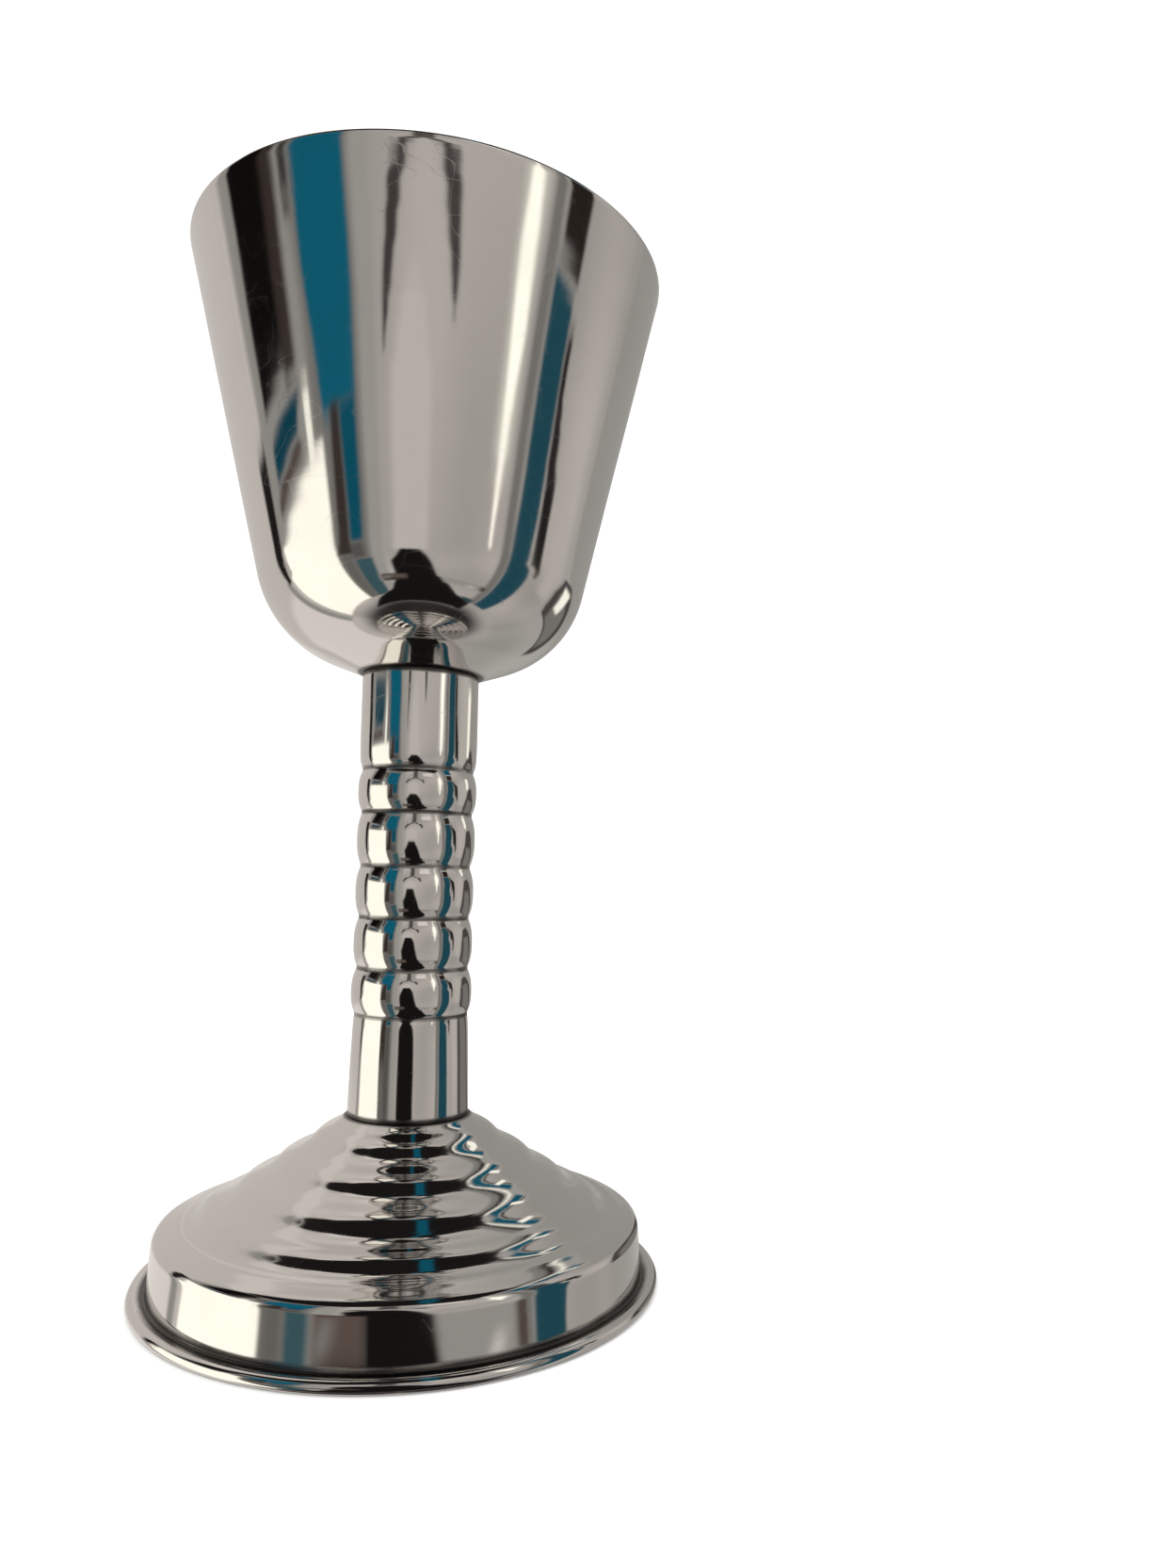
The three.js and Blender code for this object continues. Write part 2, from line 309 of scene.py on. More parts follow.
def stem_radius(z):
    """The stem's outside: plain below the first groove and above the last, and a bead between each two."""
    lowest, highest = GROOVES[0], GROOVES[-1]
    if z < lowest[0]:
        plain = STEM_FOOT_R + (STEM_WAIST_R - STEM_FOOT_R) * (z - STEM_LOW_Z) / (lowest[0] - STEM_LOW_Z)
        return plain - (STEM_WAIST_R - lowest[1]) * math.exp(-(lowest[0] - z) / GROOVE_FADE)
    if z > highest[0]:
        return STEM_TOP_R - (STEM_TOP_R - highest[1]) * math.exp(-(z - highest[0]) / GROOVE_FADE)
    for low, high in zip(GROOVES, GROOVES[1:]):
        if z <= high[0]:
            t = (z - low[0]) / (high[0] - low[0])
            return low[1] + (high[1] - low[1]) * t + BEAD_SWELL * (1 - abs(2 * t - 1) ** BEAD_FULLNESS)


def stem():
    """Tube with rolled grooves that leave beads between them."""
    heights = [STEM_LOW_Z + (STEM_TOP_Z - STEM_LOW_Z) * i / STEM_RINGS for i in range(STEM_RINGS + 1)]
    line = [(stem_radius(z), z) for z in heights]
    # The grooves and both tube ends are crease rings of grime and painted shade.
    creases = [(r, z, 0.55 * MM) for z, r in GROOVES]
    creases += [(STEM_FOOT_R, STEM_LOW_Z, 0.9 * MM), (STEM_TOP_R, STEM_TOP_Z, 0.9 * MM)]
    uneven = waviness(0.04 * MM, 8 * MM, 11)
    return spin("stem_beaded_tube", sheet(line, 4, 4), 160, uneven, creases=creases)


def rippled(point):
    """A point of the foot, moved by the cone's shallow rings if it is above the shoulder."""
    r, z = point
    inside = unit((r - RIPPLES_FROM_R) / RIPPLE_FADE)
    outside = unit((RIPPLES_TO_R - r) / RIPPLE_FADE)
    depth = RIPPLE_DEPTH * (1 + OUTER_GROWTH * unit((r - OUTER_R) / OUTER_SPAN))
    phase = ((r - RIPPLE_FIRST_R) / RIPPLE_PITCH + RISER / 2) % 1
    if phase < RISER:
        ring = -math.cos(math.pi * phase / RISER)
    else:
        ring = math.cos(math.pi * (phase - RISER) / (1 - RISER))
    return r, z - depth * ring * inside * outside if z > SHOULDER_Z else z


def foot():
    """Shell: rolled edge that it stands on, flange, upright skirt, shoulder, rippled cone and a flat top."""
    roll_centre = (ROLL_OUTER_R - ROLL_R, ROLL_R)
    roll = arc(roll_centre, ROLL_R, ROLL_START, ROLL_END, 30)
    flange_z = roll[-1][1] - FLANGE_DROP
    upper = rounded([
        (*roll[-1], 0),
        (SKIRT_R + 0.1 * MM, flange_z, FOOT_FILLET_R),
        (SKIRT_TOP_R, SHOULDER_Z, SHOULDER_R),
        (*CONE_BEND, CONE_BEND_R),
        (FOOT_TOP_R, FOOT_TOP_Z, FOOT_FILLET_R),
        (ROD_HOLE_R, FOOT_TOP_Z, 0),
    ], steps=12)
    line = [rippled(p) for p in divided(roll + upper[1:], 0.5 * MM)]
    # The corner under the skirt and the ring round the stem are crease rings of grime and painted shade.
    under_skirt = (SKIRT_R + 0.3 * MM, flange_z + 0.2 * MM, 1.5 * MM)
    round_stem = (STEM_FOOT_R + 0.1 * MM, FOOT_TOP_Z, 0.9 * MM)
    uneven = waviness(0.07 * MM, 11 * MM, 23)
    return spin("foot_shell", sheet(line, 2, 4), 256, uneven, creases=[under_skirt, round_stem])


def turned_disc(node_name, name):
    """A flat turned piece with bevelled edges and a bore, the size of its CAD node."""
    low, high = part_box(node_name)
    middle = (low.z + high.z) / 2
    line = rounded([
        (ROD_HOLE_R, middle, 0),
        (ROD_HOLE_R, low.z, DISC_BEVEL),
        (high.x, low.z, DISC_BEVEL),
        (high.x, high.z, DISC_BEVEL),
        (ROD_HOLE_R, high.z, DISC_BEVEL),
        (ROD_HOLE_R, middle, 0),
    ], steps=4)
    return spin(name, line[:-1], 96)


def spigot():
    """Solid turned disc with a blind hole from below."""
    low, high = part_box("cup_spigot")
    blind_z = high.z - 2 * MM
    line = rounded([
        (0, blind_z, 0),
        (ROD_HOLE_R, blind_z, 0.2 * MM),
        (ROD_HOLE_R, low.z, 0.4 * MM),
        (high.x, low.z, 1 * MM),
        (high.x, high.z, 0.2 * MM),
        (0, high.z, 0),
    ], steps=4)
    return spin("spigot_welded", line, 96, closed=False)


def rod():
    """M6 rod: threads at both ends and a plain shank between them."""
    low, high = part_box("tie_rod")
    shank_r = high.x - THREAD_DEPTH / 2
    shank = (low.z + LOW_THREAD_LENGTH, high.z - TOP_THREAD_LENGTH)
    steps = round((high.z - low.z) / ROD_STEP)
    heights = [low.z + (high.z - low.z) * i / steps for i in range(steps + 1)]
    heights = [z for z in heights if not shank[0] + 1 * MM < z < shank[1] - 1 * MM]

    def radius_at(r, z, angle):
        if shank[0] < z < shank[1]:
            return min(r, shank_r)
        taper = min(z - low.z, high.z - z, ROD_END_TAPER) - ROD_END_TAPER
        return min(r, high.x - THREAD_DEPTH * thread_wave(z, angle) * 0.98 + taper * 0.8)

    line = [(0, low.z)] + [(high.x, z) for z in heights] + [(0, high.z)]
    return spin("tie_rod_threaded", line, 48, radius_at, closed=False)


def nut():
    """M6 nut: a round outline cut back to six flats, with a threaded bore."""
    low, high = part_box("hex_nut")
    flat = high.y
    corner = flat / math.cos(math.pi / 6)
    outside = divided([
        (ROD_HOLE_R + 0.4 * MM, low.z),
        (flat - 0.1 * MM, low.z),
        (corner, low.z + NUT_CHAMFER),
        (corner, high.z - NUT_CHAMFER),
        (flat - 0.1 * MM, high.z),
        (ROD_HOLE_R + 0.4 * MM, high.z),
    ], 0.15 * MM)
    steps = 44
    bore = [(0.5 * MM, high.z + (low.z - high.z) * i / steps) for i in range(1, steps)]

    def radius_at(r, z, angle):
        if r < 1 * MM:
            return NUT_THREADED_R - NUT_THREAD_DEPTH * thread_wave(z, angle) * 0.5
        face = (angle + math.pi / 6) % (math.pi / 3) - math.pi / 6
        return min(r, flat / math.cos(math.pi / 6 - abs(face)))

    return spin("nut_m6", outside + bore, 180, radius_at)


def spring_washer():
    """Split ring whose two ends stand a little apart in height."""
    low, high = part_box("spring_washer")
    inner, outer = ROD_HOLE_R, high.y
    slit = 0.16
    lift = 0.12 * MM
    steps = 96
    bevel = 0.2 * MM
    thick = high.z - low.z - lift
    section = rounded([
        ((inner + outer) / 2, low.z, 0),
        (outer, low.z, bevel),
        (outer, low.z + thick, bevel),
        (inner, low.z + thick, bevel),
        (inner, low.z, bevel),
        ((inner + outer) / 2, low.z, 0),
    ], steps=3)[:-1]
    verts, faces = [], []
    count = len(section)
    for i in range(steps + 1):
        angle = slit + (TURN - 2 * slit) * i / steps
        for r, z in section:
            verts.append((r * math.cos(angle), r * math.sin(angle), z + lift * i / steps))
    for i in range(steps):
        for j in range(count):
            k = (j + 1) % count
            a, b = i * count, (i + 1) * count
            faces.append((a + j, a + k, b + k, b + j)[::-1])
    faces.append(tuple(range(count)))
    faces.append(tuple(range(steps * count, (steps + 1) * count))[::-1])
    return mesh_object("washer_split", verts, faces)


# ---------------------------------------------------------------- materials


def node(tree, kind, inputs=(), **settings):
    """A shader node with its settings, and its inputs set to a value or linked to a socket."""
    made = tree.nodes.new(kind)
    for key, value in settings.items():
        setattr(made, key, value)
    for key, value in dict(inputs).items():
        if isinstance(value, bpy.types.NodeSocket):
            tree.links.new(value, made.inputs[key])
        else:
            made.inputs[key].default_value = value
    return made


def new_material(name):
    """A material made of nodes, and its node tree."""
    material = bpy.data.materials.new(name)
    material.use_nodes = True
    return material, material.node_tree


def maths(tree, operation, a, b=0.0):
    return node(tree, "ShaderNodeMath", {0: a, 1: b}, operation=operation).outputs[0]


def remap(tree, value, low, high, to_low, to_high):
    inputs = {"Value": value, "From Min": low, "From Max": high, "To Min": to_low, "To Max": to_high}
    return node(tree, "ShaderNodeMapRange", inputs, clamp=True).outputs["Result"]


def cloud(tree, place, scale, detail=3.0, roughness=0.5):
    inputs = {"Vector": place, "Scale": scale, "Detail": detail, "Roughness": roughness}
    return node(tree, "ShaderNodeTexNoise", inputs).outputs["Fac"]


def ring_place(tree, place):
    """Coordinates that are the same all the way round the axis: (radius, height, 0)."""
    split = node(tree, "ShaderNodeSeparateXYZ", {0: place})
    flat = node(tree, "ShaderNodeCombineXYZ", {0: split.outputs[0], 1: split.outputs[1]})
    radius = node(tree, "ShaderNodeVectorMath", {0: flat.outputs[0]}, operation="LENGTH")
    both = node(tree, "ShaderNodeCombineXYZ", {0: radius.outputs["Value"], 1: split.outputs[2]})
    return both.outputs[0]


def scratch_lines(tree, place, stretch, scale):
    """Hairlines: the thin contour of a stretched cloud."""
    inputs = {"Vector": place, "Scale": stretch, "Rotation": (0.4, 0.7, 0.2)}
    mapped = node(tree, "ShaderNodeMapping", inputs)
    field = cloud(tree, mapped.outputs[0], scale, detail=1.5)
    distance = maths(tree, "ABSOLUTE", maths(tree, "SUBTRACT", field, 0.5))
    return remap(tree, distance, 0.0, 0.0035, 1.0, 0.0)


POLISHED = (0.73, 0.705, 0.68)
TURNED = (0.60, 0.585, 0.565)
PLATED = (0.66, 0.66, 0.63)
# Near black colour for grime and painted shade in the creases.
GRIME_AND_SHADE = (0.035, 0.028, 0.024)


def steel(name, colour, gloss, ring_depth, ring_scale=900.0, smudge=0.05, scratches=0.08):
    """Metal with turning rings, smudges, specks, hairline scratches, and grime with painted shade in the
    creases.

    gloss is the roughness of the clean metal, and ring_depth is how deep the turning rings look.
    """
    material, tree = new_material(name)
    shader = tree.nodes["Principled BSDF"]
    shader.inputs["Metallic"].default_value = 1.0
    place = node(tree, "ShaderNodeTexCoord").outputs["Object"]
    rings = cloud(tree, ring_place(tree, place), ring_scale, detail=4.0, roughness=0.65)
    patches = cloud(tree, place, 55.0, detail=4.0, roughness=0.55)
    dirt = remap(tree, patches, 0.48, 0.72, 0.0, 1.0)
    specks = remap(tree, cloud(tree, place, 700.0, detail=2.0), 0.70, 0.78, 0.0, 1.0)
    fine = scratch_lines(tree, place, (1.0, 1.0, 0.25), 160.0)
    cross = scratch_lines(tree, place, (0.35, 0.35, 1.0), 110.0)
    marks = maths(tree, "MAXIMUM", fine, cross)

    tone = maths(tree, "ADD", maths(tree, "MULTIPLY", dirt, 0.35), maths(tree, "MULTIPLY", specks, 0.4))
    worn = tuple(c * 0.9 for c in colour)
    # Crease rings turn near black and rougher: grime and painted shade.
    grime_and_shade = node(tree, "ShaderNodeAttribute", attribute_name="grime_and_shade").outputs["Fac"]
    ragged = maths(tree, "MULTIPLY", grime_and_shade, remap(tree, patches, 0.3, 0.6, 0.8, 1.6))
    crease_darkening = remap(tree, ragged, 0.15, 0.95, 0.0, 0.92)
    inputs = {"Factor": tone, "A": (*colour, 1), "B": (*worn, 1)}
    clean = node(tree, "ShaderNodeMix", inputs, data_type="RGBA").outputs["Result"]
    inputs = {"Factor": crease_darkening, "A": clean, "B": (*GRIME_AND_SHADE, 1)}
    mixed = node(tree, "ShaderNodeMix", inputs, data_type="RGBA").outputs["Result"]
    tree.links.new(mixed, shader.inputs["Base Color"])

    rough = maths(tree, "MULTIPLY_ADD", dirt, smudge)
    rough.node.inputs[2].default_value = gloss
    rough = maths(tree, "ADD", rough, maths(tree, "MULTIPLY", marks, scratches))
    rough = maths(tree, "ADD", rough, maths(tree, "MULTIPLY", crease_darkening, 0.3))
    tree.links.new(rough, shader.inputs["Roughness"])

    relief = maths(tree, "SUBTRACT", rings, maths(tree, "MULTIPLY", marks, 0.25))
    bump = node(tree, "ShaderNodeBump", {"Height": relief, "Distance": ring_depth, "Strength": 1.0})
    tree.links.new(bump.outputs["Normal"], shader.inputs["Normal"])
    return material


# ---------------------------------------------------------------- studio


def sheet_of_light(name):
    """Emission painted by the mesh's own colours, and nothing at all where their alpha is 0."""
    material, tree = new_material(name)
    tree.nodes.clear()
    paint = node(tree, "ShaderNodeAttribute", attribute_name="paint")
    light = node(tree, "ShaderNodeEmission", {"Color": paint.outputs["Color"]})
    clear = node(tree, "ShaderNodeBsdfTransparent")
    inputs = {0: paint.outputs["Alpha"], 1: clear.outputs[0], 2: light.outputs[0]}
    mix = node(tree, "ShaderNodeMixShader", inputs)
    out = node(tree, "ShaderNodeOutputMaterial")
    tree.links.new(mix.outputs[0], out.inputs["Surface"])
    material.cycles.emission_sampling = "NONE"
    return material


def ramp(value, start, end):
    """0 before start and 1 after end, smoothly."""
    t = numpy.clip((value - start) / (end - start), 0, 1)
    return t * t * (3 - 2 * t)


def painted(levels, sides, ground, panels):
    """Colours of a screen's points: the ground, with soft-edged panels painted over it.

    A panel is (colour, strength, side softness, end softness, rows).
    A row is (level, from side, to side), and its edges run straight on to the next row's.
    """
    level, side = numpy.meshgrid(levels, sides, indexing="ij")
    colours = numpy.empty(level.shape + (4,))
    colours[:] = ground
    for colour, strength, side_soft, end_soft, rows in panels:
        at = [row[0] for row in rows]
        left = numpy.interp(level, at, [row[1] for row in rows])
        right = numpy.interp(level, at, [row[2] for row in rows])
        cover = ramp(side, left - side_soft, left + side_soft)
        cover *= ramp(-side, -right - side_soft, -right + side_soft)
        cover *= ramp(level, at[0] - end_soft, at[0] + end_soft)
        cover *= ramp(-level, -at[-1] - end_soft, -at[-1] + end_soft)
        full = numpy.array([c * strength for c in colour] + [1.0])
        colours += (full - colours) * cover[..., None]
    return colours


def clouded(colours, levels, sides, amount):
    """The same colours, a little lighter and darker in wide soft patches."""
    level, side = numpy.meshgrid(numpy.radians(levels), numpy.radians(sides), indexing="ij")
    shade = numpy.sin(5 * level + 1.0) * numpy.sin(4 * side + 0.6)
    shade += 0.8 * numpy.sin(9 * level - 3 * side) + 0.6 * numpy.sin(7 * side + 4 * level + 2.0)
    colours[..., :3] *= (1 + amount * shade)[..., None]
    return colours


def screen(name, levels, sides, place, ground, panels, unevenness=0.0):
    """A painted sheet round or over the object, which only the steel's reflections see."""
    verts = [place(level, side) for level in levels for side in sides]
    across = len(sides)
    faces = []
    for i in range(len(levels) - 1):
        for j in range(across - 1):
            a = i * across + j
            faces.append((a, a + 1, a + across + 1, a + across))
    made = mesh_object(name, verts, faces)
    colours = clouded(painted(levels, sides, ground, panels), levels, sides, unevenness)
    paint = made.data.color_attributes.new("paint", "FLOAT_COLOR", "POINT")
    paint.data.foreach_set("color", colours.ravel())
    made.data.materials.append(sheet_of_light(name))
    made.visible_camera = False
    made.visible_diffuse = False
    made.visible_shadow = False


WARM = (1.0, 0.945, 0.895)
GREY = (1.0, 0.975, 0.92)
CREAM = (1.0, 0.985, 0.88)
TEAL = (0.03, 0.62, 1.0)
SLATE = (0.33, 0.75, 0.90)
DUSK = (0.15, 0.71, 1.0)
BROWN = (1.0, 0.75, 0.65)
BLACK = (1.0, 0.88, 0.84)

# Far tent, a painted reflection: levels are elevations and sides are azimuths, in degrees. Azimuth 0 is the
# camera's side.
TENT_R = 1.8
TENT = [
    (WARM, 0.66, 6, 8, [(-90, -180, -108), (90, -180, -108)]),
    (GREY, 0.42, 6, 8, [(-60, 108, 180), (60, 108, 180)]),
    (BLACK, 0.03, 8, 6, [(-90, -180, 180), (-64, -180, 180)]),
    (WARM, 0.75, 12, 6, [(62, -140, -60), (80, -170, -40)]),
]

# Drum round the object, a painted reflection: levels are heights in millimetres and sides are azimuths in
# degrees.
DRUM_R = 500 * MM
DRUM = [
    # light wall on the far left, and greys that fill what the pieces below leave open
    (WARM, 0.64, 3, 20, [(-640, -160, -110), (640, -160, -110)]),
    (WARM, 0.84, 4, 40, [(-640, -176, -114), (-60, -176, -114)]),
    (GREY, 0.34, 3, 12, [(140, -106, -60), (640, -106, -60)]),
    (GREY, 0.22, 3, 12, [(-640, -62, -34), (640, -66, -33)]),
    (GREY, 0.40, 3, 20, [(-640, -36, -27), (640, -36, -26)]),
    (WARM, 0.63, 4, 30, [(-20, -22, 3), (150, -21, 2), (215, -13, -5)]),
    (GREY, 0.37, 3, 30, [(60, 142, 180), (120, 124, 180), (200, 113, 180), (430, 108, 180)]),
    # the window, the dark frame beside it and the dark curtain over it
    (CREAM, 1.42, 1.5, 5, [(-640, -106, -60), (-10, -106, -60), (20, -102, -60), (146, -103, -60)]),
    (CREAM, 1.20, 1.0, 8, [(140, -70, -66), (190, -70, -66)]),
    (GREY, 0.34, 1.5, 12, [(-640, -118, -110), (0, -114, -109)]),
    (BLACK, 0.015, 1.5, 10, [(-20, -111, -107), (100, -113, -105), (215, -114, -105)]),
    (TEAL, 0.09, 2, 4, [(172, -97, -76), (196, -97, -72)]),
    (BROWN, 0.10, 2, 3, [(156, -99, -73), (168, -99, -76)]),
    (BLACK, 0.006, 1.5, 6, [(216, -99, -77), (300, -98, -75), (560, -98, -75)]),
    (BROWN, 0.045, 2.5, 6, [(205, -80, -72), (420, -76, -69)]),
    (BLACK, 0.05, 1.2, 15, [(270, -68, -64), (420, -67, -63)]),
    # the teal hanging on the left, with a brown edge low down
    (TEAL, 0.21, 1.6, 6, [(155, -58, -39), (235, -62, -38), (420, -60, -38)]),
    (TEAL, 0.15, 2, 8, [(70, -48, -40), (156, -49, -39)]),
    (SLATE, 0.15, 2, 10, [(-640, -49, -36), (-75, -48, -36)]),
    (GREY, 0.11, 3, 20, [(-60, -50, -40), (60, -49, -40)]),
    (BROWN, 0.05, 1.6, 6, [(-20, -60, -49), (60, -57, -49), (158, -54, -49)]),
    (GREY, 0.16, 3, 20, [(-640, -58, -50), (-20, -58, -50)]),
    # two dark cords in front that meet overhead
    (BLACK, 0.06, 1.6, 5, [(166, -24, -23), (205, -24, -19), (235, -22, -16), (259, -20, -13), (267, -15, -8),
                           (290, -12, -5)]),
    (BLACK, 0.06, 1.6, 5, [(184, 9, 11), (212, 7, 12), (240, 4, 11), (259, 2, 10), (267, -3, 4),
                           (290, -6, 1)]),
    (BLACK, 0.10, 2.0, 10, [(290, -11, -1), (560, -11, -1)]),
    (WARM, 0.85, 4, 12, [(350, 8, 32), (480, 8, 32)]),
    # painted reflection of the lamp on the right
    (CREAM, 0.70, 3, 20, [(120, 36, 48), (330, 36, 49)]),
    (CREAM, 1.45, 1.6, 12, [(70, 40.5, 43), (150, 40, 44.5), (205, 39, 46.5), (240, 38.5, 46), (330, 41, 44),
                            (640, 42, 43)]),
    # the teal hanging on the right, between grey and dark edges
    (GREY, 0.22, 2, 12, [(-640, 49, 57), (640, 51, 57)]),
    (DUSK, 0.110, 1.6, 6, [(-640, 57, 73), (-20, 57, 76), (40, 57, 75), (75, 57, 71), (130, 58, 73),
                           (252, 57, 70)]),
    (GREY, 0.12, 1.5, 20, [(70, 73, 79), (140, 74, 78)]),
    (CREAM, 0.70, 0.9, 20, [(70, 72, 73.5), (120, 73, 74)]),
    (BLACK, 0.02, 1.4, 12, [(40, 80, 84), (110, 76, 83), (160, 73, 82), (205, 71, 75), (240, 70.5, 74)]),
    (BROWN, 0.12, 2, 12, [(2, 79, 83), (60, 79, 84)]),
    (BROWN, 0.025, 1.6, 6, [(256, 58, 71), (380, 58, 72)]),
    (TEAL, 0.16, 2, 12, [(400, 58, 76), (640, 58, 76)]),
    # pale wall beyond it, and the grey shape with a dark outline farther round
    (WARM, 0.58, 6, 30, [(-60, 88, 104), (180, 88, 100)]),
    (BLACK, 0.08, 3, 8, [(-113, 108, 154), (-60, 105, 153), (40, 105, 143), (150, 112, 126)]),
    (GREY, 0.22, 3, 8, [(-96, 116, 146), (-40, 114, 143), (70, 113, 130)]),
]

# Painted reflection of somebody standing where the camera is, measured as the drum is. The last panel is the
# figure itself, and the others are the greys and browns beside it that the foot's skirt reflects.
FIGURE_R = 200 * MM
FIGURE = [
    (GREY, 0.37, 3, 3, [(-51, 14, 46), (-22, 12, 46)]),
    (GREY, 0.70, 3, 4, [(-48, 34, 39), (-38, 36, 41)]),
    (BROWN, 0.10, 2, 3, [(-51, 45, 51), (-22, 45, 51)]),
    (SLATE, 0.10, 6, 12, [(-330, 40, 66), (-120, 34, 52)]),
    (BROWN, 0.13, 3, 2, [(-57, -34, -12), (-16, -34, -12)]),
    (GREY, 0.24, 4, 4, [(-42, -33, -27), (-28, -30, -25)]),
    (BLACK, 0.03, 3, 4, [(-52, -26, -12), (-44, -30, -12)]),
    (BLACK, 0.010, 2, 2, [(-300, -70, 70), (-190, -50, 52), (-120, -30, 31), (-55, -24, 20), (-51, -14, 16),
                          (-22, -14, 12), (-18, -22, 10), (40, -23, 5), (60, -19, 2), (82, -16, -3)]),
]

# Painted glint: a bright patch beside the stem, lower than the cup, that only reflections see, measured as
# the drum is.
GLINT_R = 100 * MM
GLINT = [
    (CREAM, 1.25, 2, 3, [(100, 103, 111), (127, 103, 114)]),
]

# Card over the object, a painted reflection: levels run to the back and sides to the right, in millimetres.
CARD_Z = 500 * MM
CARD = [
    # light on the left, and the wide dark shape in front with an arm at each side
    (WARM, 0.74, 50, 50, [(60, -480, -330), (240, -400, -240), (440, -300, -100)]),
    (BLACK, 0.012, 10, 8, [(-440, -480, 300), (-120, -480, 330), (-14, -430, 330)]),
    (BLACK, 0.015, 16, 12, [(-60, -460, -180), (10, -440, -270), (60, -420, -370)]),
    (BLACK, 0.020, 12, 12, [(-60, 150, 330), (30, 240, 345)]),
    # stripes on the right that the cone's ripples bend into zigzags
    (GREY, 0.26, 10, 30, [(-20, 250, 300), (440, 200, 250)]),
    (BLACK, 0.030, 8, 30, [(-40, 286, 308), (440, 236, 262)]),
    (CREAM, 1.10, 6, 30, [(-40, 314, 334), (440, 270, 292)]),
    (TEAL, 0.17, 8, 30, [(-40, 346, 412), (440, 305, 372)]),
    (BLACK, 0.030, 8, 30, [(-40, 420, 446), (440, 380, 402)]),
    # a teal strip across the dark shape
    (TEAL, 0.16, 6, 10, [(-330, 60, 110), (-60, 40, 80)]),
]


def on_tent(level, side):
    up, round_ = math.radians(level), math.radians(side)
    out = TENT_R * math.cos(up)
    return (out * math.sin(round_), -out * math.cos(round_), HEIGHT / 2 + TENT_R * math.sin(up))


def on_drum(level, side, radius=DRUM_R):
    round_ = math.radians(side)
    return (radius * math.sin(round_), -radius * math.cos(round_), level * MM)


def on_figure(level, side):
    return on_drum(level, side, FIGURE_R)


def on_glint(level, side):
    return on_drum(level, side, GLINT_R)


def on_card(level, side):
    return (side * MM, level * MM, CARD_Z)


FLOOR_SIZE = 60.0
FLOOR_GAP = 0.02 * MM
ROOM_BRIGHTNESS = 1.25


def studio_light(name, place, size, power):
    """A soft round lamp that points at the object and does not show in reflections."""
    data = bpy.data.lights.new(name, "AREA")
    data.shape = "DISK"
    data.size = size
    data.energy = power
    data.color = (1.0, 0.985, 0.96)
    lamp = add_object(name, data)
    lamp.location = place
    aim = Vector((0, 0, HEIGHT / 2)) - lamp.location
    lamp.rotation_mode = "QUATERNION"
    lamp.rotation_quaternion = aim.to_track_quat("-Z", "Y")
    lamp.visible_glossy = False


def floor_material():
    """Plain pale matt floor."""
    material, tree = new_material("studio_floor")
    shader = tree.nodes["Principled BSDF"]
    place = node(tree, "ShaderNodeTexCoord").outputs["Object"]
    tone = remap(tree, cloud(tree, place, 3.0), 0.3, 0.7, 0.88, 0.9)
    colour = node(tree, "ShaderNodeCombineColor", {0: tone, 1: tone, 2: tone})
    tree.links.new(colour.outputs[0], shader.inputs["Base Color"])
    shader.inputs["Roughness"].default_value = 0.9
    shader.inputs["Specular IOR Level"].default_value = 0.0
    return material


def reflections():
    """The screens that paint the steel's reflections. The clear ground has the wall's colour too, so that
    soft edges do not darken.
    """
    wall = tuple(c * 0.50 for c in WARM)
    solid, clear = (*wall, 1), (*wall, 0)
    degrees = numpy.arange(-180, 180.5, 1)
    half_degrees = numpy.arange(-180, 180.25, 0.5)
    screen("tent", numpy.arange(-90, 90.5, 1.5), degrees, on_tent, solid, TENT, unevenness=0.10)
    screen("drum", numpy.arange(-700, 701, 5), half_degrees, on_drum, clear, DRUM)
    screen("figure", numpy.arange(-330, 101, 4), numpy.arange(-75, 50.5, 1), on_figure, clear, FIGURE)
    screen("side_glint", numpy.arange(90, 136, 2), numpy.arange(94, 125, 1), on_glint, clear, GLINT)
    across = numpy.arange(-500, 501, 10)
    screen("overhead_card", across, across, on_card, clear, CARD)


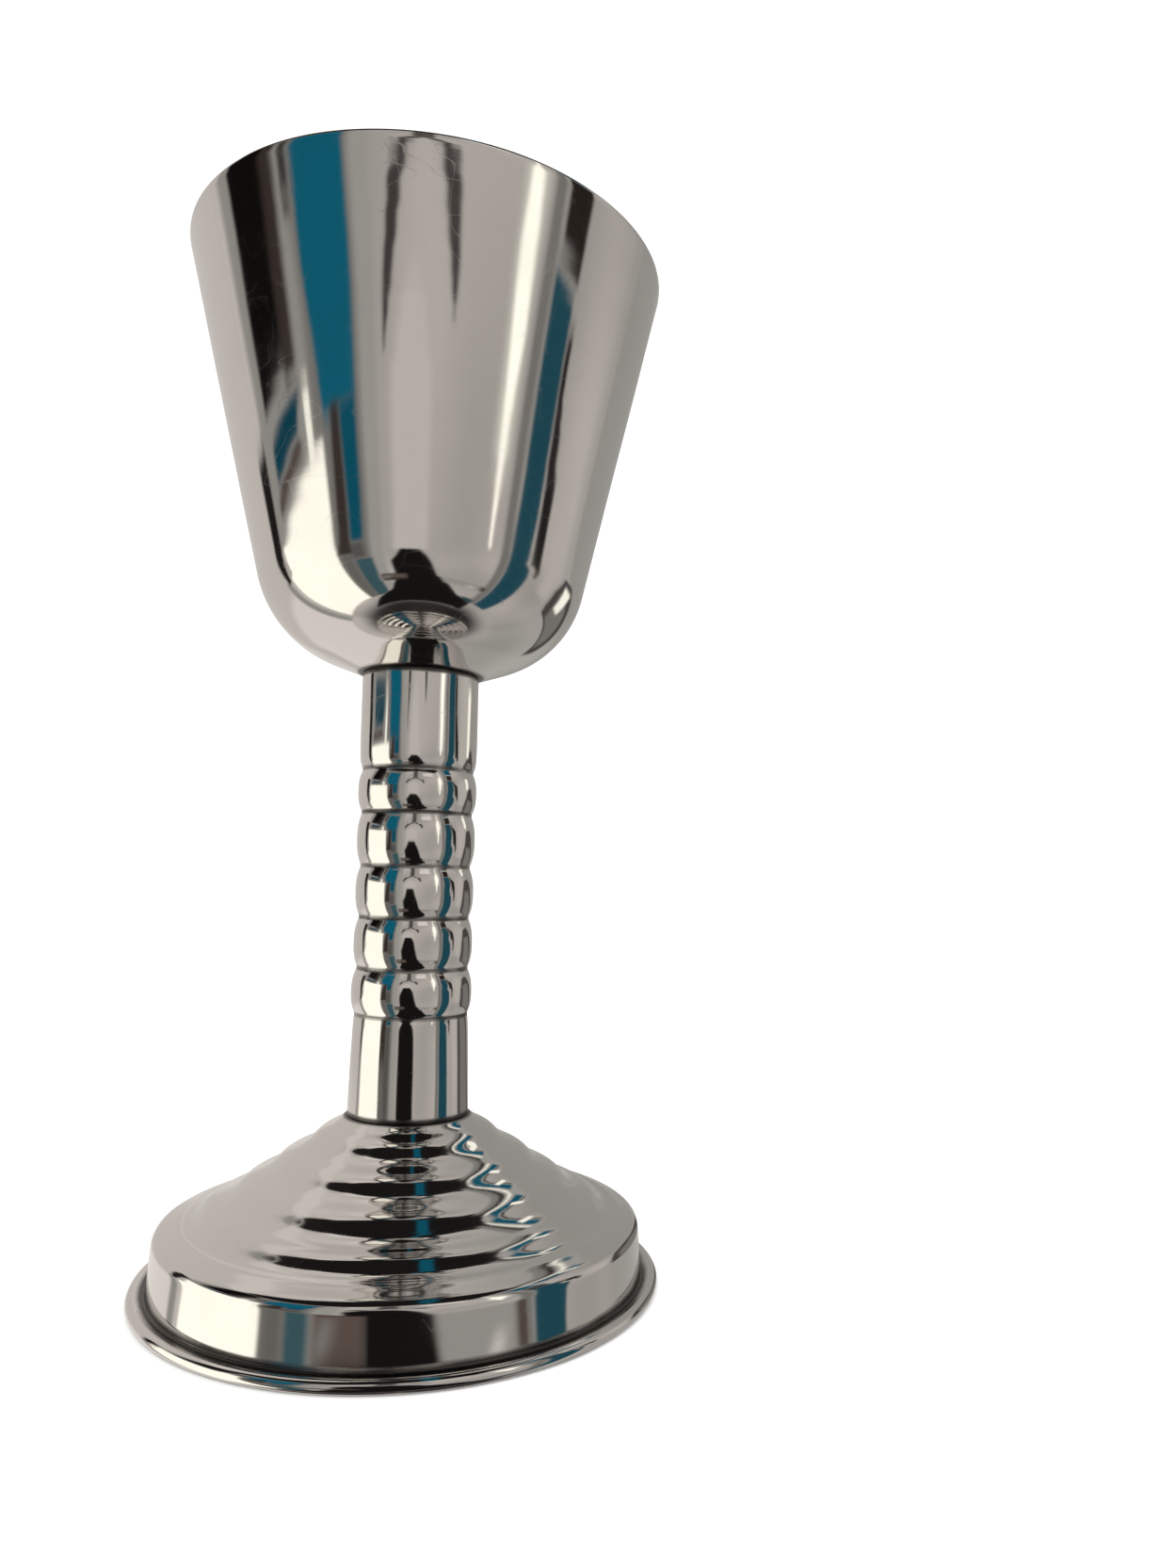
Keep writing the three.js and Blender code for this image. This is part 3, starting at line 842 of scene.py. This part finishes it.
def studio():
    """Screens, floor, lamps and a bright plain room."""
    reflections()
    half = FLOOR_SIZE / 2
    corners = [(-half, -half, 0), (half, -half, 0), (half, half, 0), (-half, half, 0)]
    floor = mesh_object("studio_floor", corners, [(0, 1, 2, 3)])
    floor.location.z = -FLOOR_GAP
    floor.data.materials.append(floor_material())
    floor.visible_glossy = False
    studio_light("key_light", (-0.7, -0.6, 1.3), 1.0, 9.0)
    studio_light("fill_light", (0.8, 0.3, 1.2), 1.2, 5.0)
    world = bpy.data.worlds.new("white_room")
    world.use_nodes = True
    background = world.node_tree.nodes["Background"]
    background.inputs["Color"].default_value = (1.0, 1.0, 1.0, 1.0)
    background.inputs["Strength"].default_value = ROOM_BRIGHTNESS
    bpy.context.scene.world = world
    bpy.context.scene.view_settings.view_transform = "Standard"


def camera():
    """A camera in front of the stem, turned by its yaw, pitch and roll."""
    yaw, pitch, roll = CAMERA_YAW, CAMERA_PITCH, CAMERA_ROLL
    ahead = Vector((math.sin(yaw) * math.cos(pitch), math.cos(yaw) * math.cos(pitch), math.sin(pitch)))
    level = Vector((math.cos(yaw), -math.sin(yaw), 0))
    upright = level.cross(ahead)
    right = level * math.cos(roll) + upright * math.sin(roll)
    up = right.cross(ahead)
    data = bpy.data.cameras.new("camera")
    data.lens = CAMERA_LENS
    data.shift_x, data.shift_y = CAMERA_SHIFT
    data.clip_start = 0.01
    data.clip_end = 100.0
    made = add_object("camera", data)
    turn = Matrix((right, up, -ahead)).transposed().to_4x4()
    made.matrix_world = Matrix.Translation((0, -CAMERA_DISTANCE, CAMERA_HEIGHT)) @ turn
    bpy.context.scene.camera = made


# ---------------------------------------------------------------- the scene


def finish_piece(piece, material, node_name):
    """Gives a piece its material, hangs it on the root body and hides the CAD node that it replaces."""
    piece.data.materials.append(material)
    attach(piece, "root")
    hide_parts(node_name)


camera()
studio()

polished = steel("polished_steel", POLISHED, gloss=0.05, ring_depth=0.0009 * MM)
turned = steel("turned_steel", TURNED, gloss=0.26, ring_depth=0.02 * MM, ring_scale=2500.0)
plated = steel("plated_steel", PLATED, gloss=0.30, ring_depth=0.004 * MM, smudge=0.12)

finish_piece(cup(), polished, "cup")
finish_piece(stem(), polished, "stem_tube")
finish_piece(foot(), polished, "base_shell")
finish_piece(spigot(), turned, "cup_spigot")
finish_piece(turned_disc("stem_bush", "bush_turned"), turned, "stem_bush")
finish_piece(turned_disc("clamp_plate", "plate_under_seat"), turned, "clamp_plate")
finish_piece(rod(), plated, "tie_rod")
finish_piece(spring_washer(), plated, "spring_washer")
finish_piece(nut(), plated, "hex_nut")
